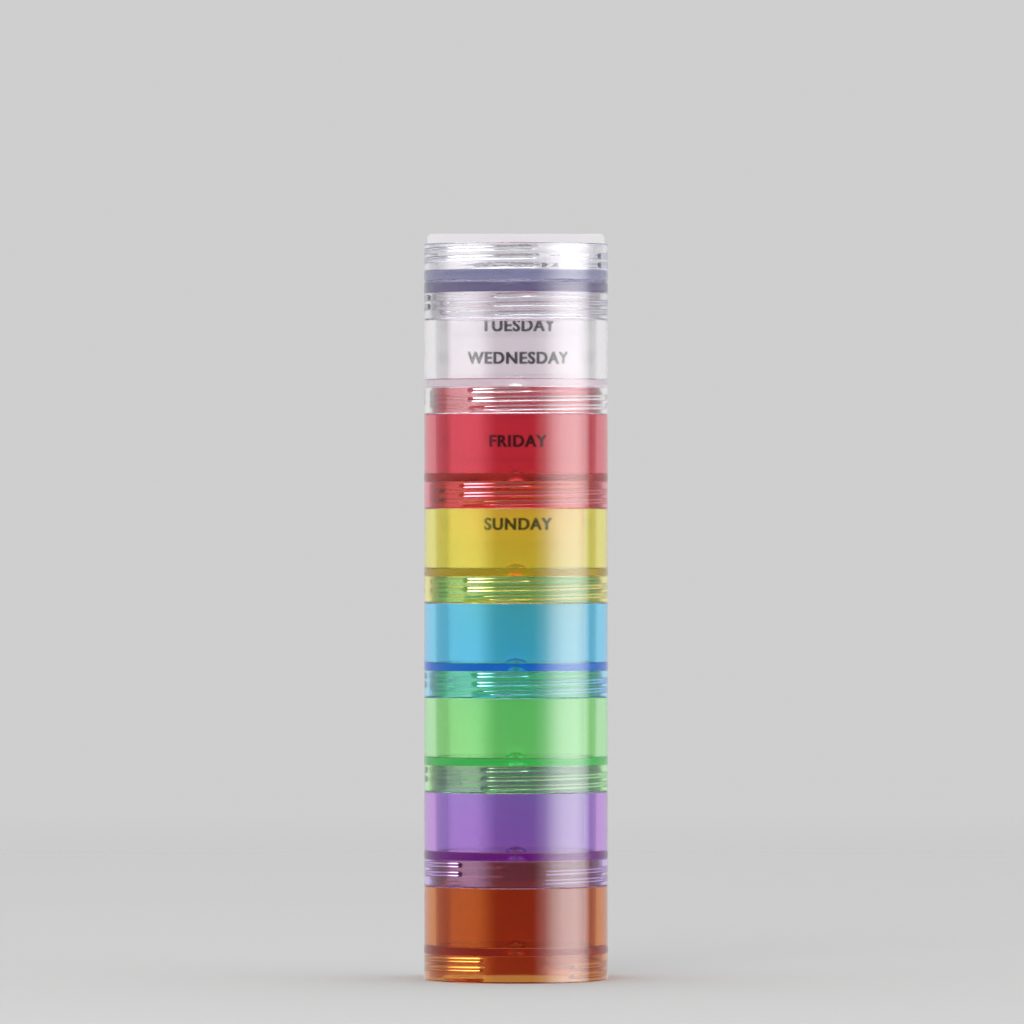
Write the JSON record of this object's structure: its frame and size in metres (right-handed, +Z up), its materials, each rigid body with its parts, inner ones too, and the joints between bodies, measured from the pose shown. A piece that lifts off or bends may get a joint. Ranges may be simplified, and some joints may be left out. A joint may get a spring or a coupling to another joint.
{
  "type": "weekly pill organizer",
  "caption": "Round see-through pill cups that screw together into one tower, with screw lids and a sheet of day labels.",
  "frame": {"origin": "on the tower's axis, at the plane of the lowest cup's rim, on which the tower stands", "axes": "+Z up the tower's axis from the lowest cup to the spare lid; -Y is the front, and the label sheet stands behind, towards +Y"},
  "size_m": [0.0382, 0.0387, 0.155],
  "materials": {
    "orange_cup": "polished, see-through",
    "purple_cup": "polished, see-through",
    "green_cup": "polished, see-through",
    "blue_cup": "polished, see-through",
    "yellow_cup": "polished, see-through",
    "red_cup": "polished, see-through",
    "clear_cup": "polished, see-through",
    "lid": "polished, see-through",
    "sheet_paper": "smooth",
    "label_paper": "coated"
  },
  "bodies": {
    "orange_cup": {"orange_cup": "orange_cup"},
    "purple_cup": {"purple_cup": "purple_cup"},
    "green_cup": {"green_cup": "green_cup"},
    "blue_cup": {"blue_cup": "blue_cup"},
    "yellow_cup": {"yellow_cup": "yellow_cup"},
    "red_cup": {"red_cup": "red_cup"},
    "clear_cup": {"clear_cup": "clear_cup"},
    "lid": {"lid": "lid"},
    "spare_lid": {"spare_lid": "lid"},
    "label_sheet": {"label_sheet": "sheet_paper", "label_monday": "label_paper", "label_tuesday": "label_paper", "label_wednesday": "label_paper", "label_thursday": "label_paper", "label_friday": "label_paper", "label_saturday": "label_paper", "label_sunday": "label_paper"}
  },
  "joints": [
    {"name": "purple_cup_lift", "type": "slide", "parent": "orange_cup", "child": "purple_cup", "axis": [0, 0, 1], "range_m": [0, 0.025]},
    {"name": "green_cup_lift", "type": "slide", "parent": "purple_cup", "child": "green_cup", "axis": [0, 0, 1], "range_m": [0, 0.025]},
    {"name": "blue_cup_lift", "type": "slide", "parent": "green_cup", "child": "blue_cup", "axis": [0, 0, 1], "range_m": [0, 0.025]},
    {"name": "yellow_cup_lift", "type": "slide", "parent": "blue_cup", "child": "yellow_cup", "axis": [0, 0, 1], "range_m": [0, 0.025]},
    {"name": "red_cup_lift", "type": "slide", "parent": "yellow_cup", "child": "red_cup", "axis": [0, 0, 1], "range_m": [0, 0.025]},
    {"name": "clear_cup_lift", "type": "slide", "parent": "red_cup", "child": "clear_cup", "axis": [0, 0, 1], "range_m": [0, 0.025]},
    {"name": "lid_lift", "type": "slide", "parent": "clear_cup", "child": "lid", "axis": [0, 0, 1], "range_m": [0, 0.025]},
    {"name": "spare_lid_lift", "type": "slide", "parent": "lid", "child": "spare_lid", "axis": [0, 0, 1], "range_m": [0, 0.025]},
    {"name": "label_sheet_away", "type": "slide", "parent": "orange_cup", "child": "label_sheet", "axis": [0, 1, 0], "range_m": [0, 0.03]}
  ]
}
